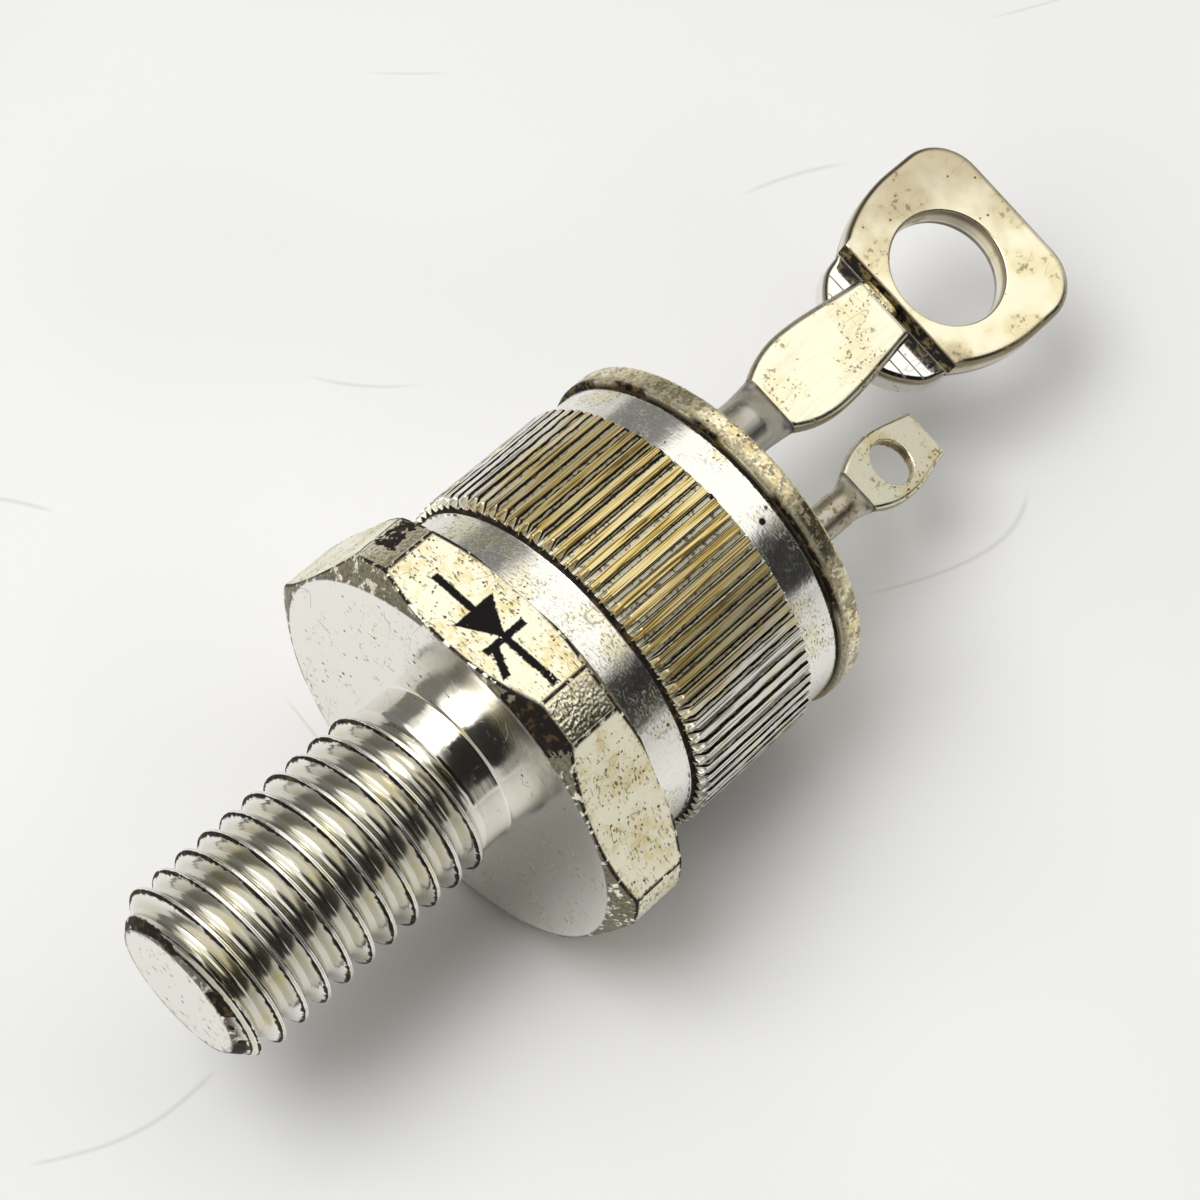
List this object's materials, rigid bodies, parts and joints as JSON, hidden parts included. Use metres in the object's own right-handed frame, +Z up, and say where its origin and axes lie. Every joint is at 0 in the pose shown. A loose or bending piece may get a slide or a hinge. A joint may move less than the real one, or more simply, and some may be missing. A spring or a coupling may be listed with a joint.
{
  "type": "thyristor",
  "caption": "Stud-mounted thyristor: hexagon base with a fine-threaded stud, knurled capsule, ring-lug cathode terminal and small pierced gate terminal.",
  "frame": {"origin": "centre of the bounding box's underside, on the surface that the device lies on", "axes": "+X along the device's axis from the stud's tip towards the lug, seen from above; +Z up, out of the uppermost hexagon flat; +Y to the left of +X"},
  "size_m": [0.0402, 0.0154, 0.0143],
  "materials": {
    "plated_base": "polished",
    "braze": "matte",
    "plated_case": "satin",
    "plated_header": "satin",
    "seal_glass": "gloss",
    "plated_terminal": "satin",
    "plated_lug": "satin",
    "solder": "satin",
    "plated_gate": "satin",
    "inner_solder": "satin",
    "molybdenum": "satin",
    "silicon": "polished",
    "lead_wire": "satin"
  },
  "bodies": {
    "root": {"stud_base": "plated_base", "base_braze": "braze", "knurled_case": "plated_case", "header_shell": "plated_header", "header_glass": "seal_glass", "cathode_tube": "plated_terminal", "cathode_lug": "plated_lug", "lug_solder": "solder", "gate_tube": "plated_gate", "anode_solder": "inner_solder", "anode_plate": "molybdenum", "die_solder": "inner_solder", "silicon_die": "silicon", "cathode_solder": "inner_solder", "cathode_plate": "molybdenum", "cathode_lead": "lead_wire", "gate_pad": "inner_solder", "gate_lead": "lead_wire"}
  },
  "joints": []
}
